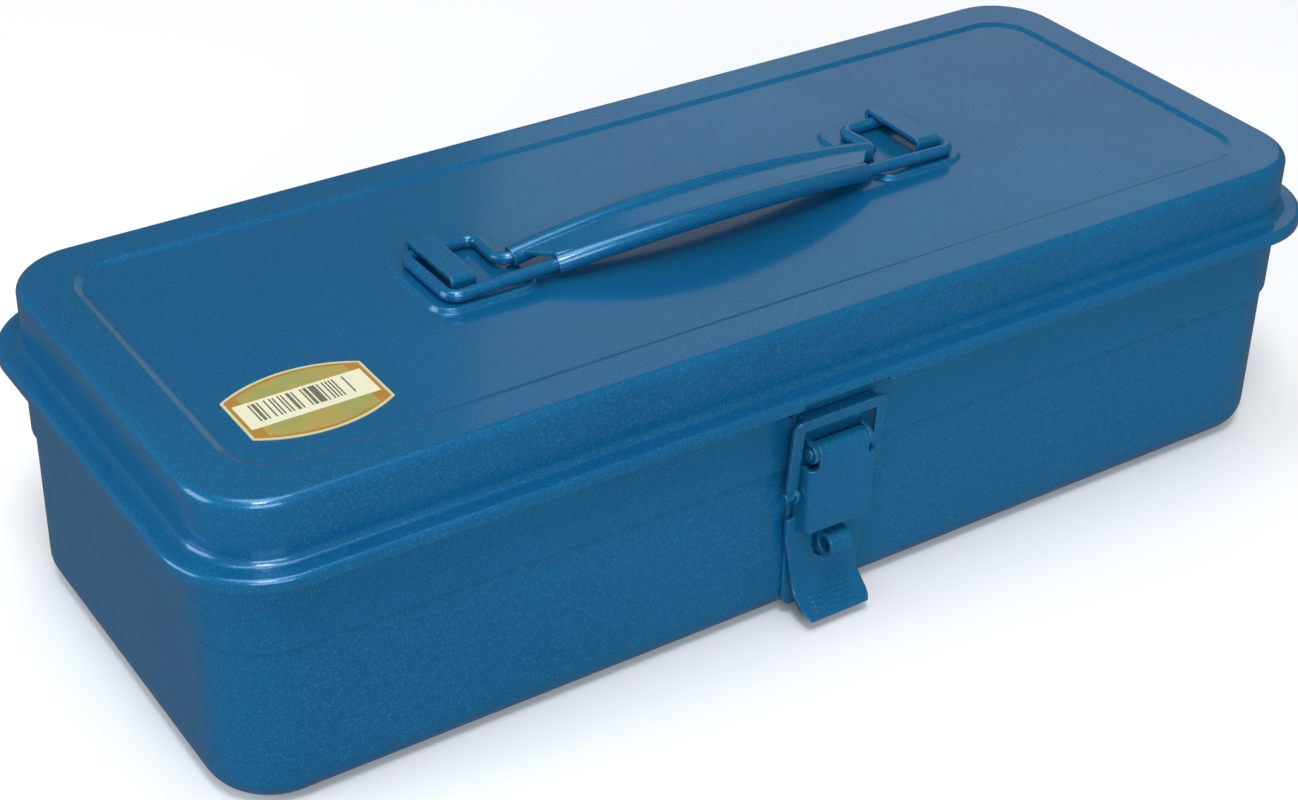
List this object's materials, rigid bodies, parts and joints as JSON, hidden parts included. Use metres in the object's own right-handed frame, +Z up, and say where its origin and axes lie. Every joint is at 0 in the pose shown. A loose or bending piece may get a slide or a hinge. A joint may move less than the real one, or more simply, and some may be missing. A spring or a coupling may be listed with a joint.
{
  "type": "metal tool box",
  "caption": "Low rectangular pressed-steel tool box with a hinged lid, a folding top handle and a front toggle latch that takes a padlock.",
  "frame": {"origin": "centre of the flat underside", "axes": "+X along the box's length, -Y towards the latch, +Z up"},
  "size_m": [0.333, 0.1473, 0.096],
  "materials": {
    "tub_enamel": "glossy metallic blue enamel",
    "lid_enamel": "glossy metallic blue enamel",
    "latch_enamel": "glossy blue enamel, worn at the bends",
    "handle_enamel": "glossy blue enamel, worn at the rubbing places",
    "hinge_enamel": "glossy blue enamel",
    "pin_steel": "painted over with the box, bare where it rubs",
    "label_foil": "satin printed foil"
  },
  "bodies": {
    "tub": {"tub_shell": "tub_enamel", "latch_base": "latch_enamel", "padlock_staple": "latch_enamel", "lever_pin": "pin_steel", "hinge_tub_leaf_left": "hinge_enamel", "hinge_tub_leaf_right": "hinge_enamel", "hinge_pin_left": "pin_steel", "hinge_pin_right": "pin_steel"},
    "lid": {"lid_shell": "lid_enamel", "label": "label_foil", "lid_hook": "latch_enamel", "handle_strap_left": "handle_enamel", "handle_strap_right": "handle_enamel", "hinge_lid_leaf_left": "hinge_enamel", "hinge_lid_leaf_right": "hinge_enamel"},
    "handle": {"handle_grip": "handle_enamel", "handle_loop_left": "handle_enamel", "handle_loop_right": "handle_enamel"},
    "lever": {"latch_lever": "latch_enamel", "bail_rivets": "pin_steel"},
    "bail": {"latch_bail": "latch_enamel"}
  },
  "joints": [
    {"name": "lid_hinge", "type": "hinge", "parent": "tub", "child": "lid", "pos_m": [0, 0.0726, 0.0668], "axis": [-1, 0, 0], "range_deg": [0, 105]},
    {"name": "handle_pivot", "type": "hinge", "parent": "lid", "child": "handle", "pos_m": [0, 0.0107, 0.0872], "axis": [-1, 0, 0], "range_deg": [0, 150]},
    {"name": "lever_pivot", "type": "hinge", "parent": "tub", "child": "lever", "pos_m": [0, -0.0669, 0.0508], "axis": [-1, 0, 0], "range_deg": [0, 100]},
    {"name": "bail_pivot", "type": "hinge", "parent": "lever", "child": "bail", "pos_m": [0, -0.0651, 0.0386], "axis": [-1, 0, 0], "range_deg": [-150, 0]}
  ],
  "couplings": [
    {"joint": "bail_pivot", "follows": "lever_pivot", "ratio": -1.5}
  ]
}
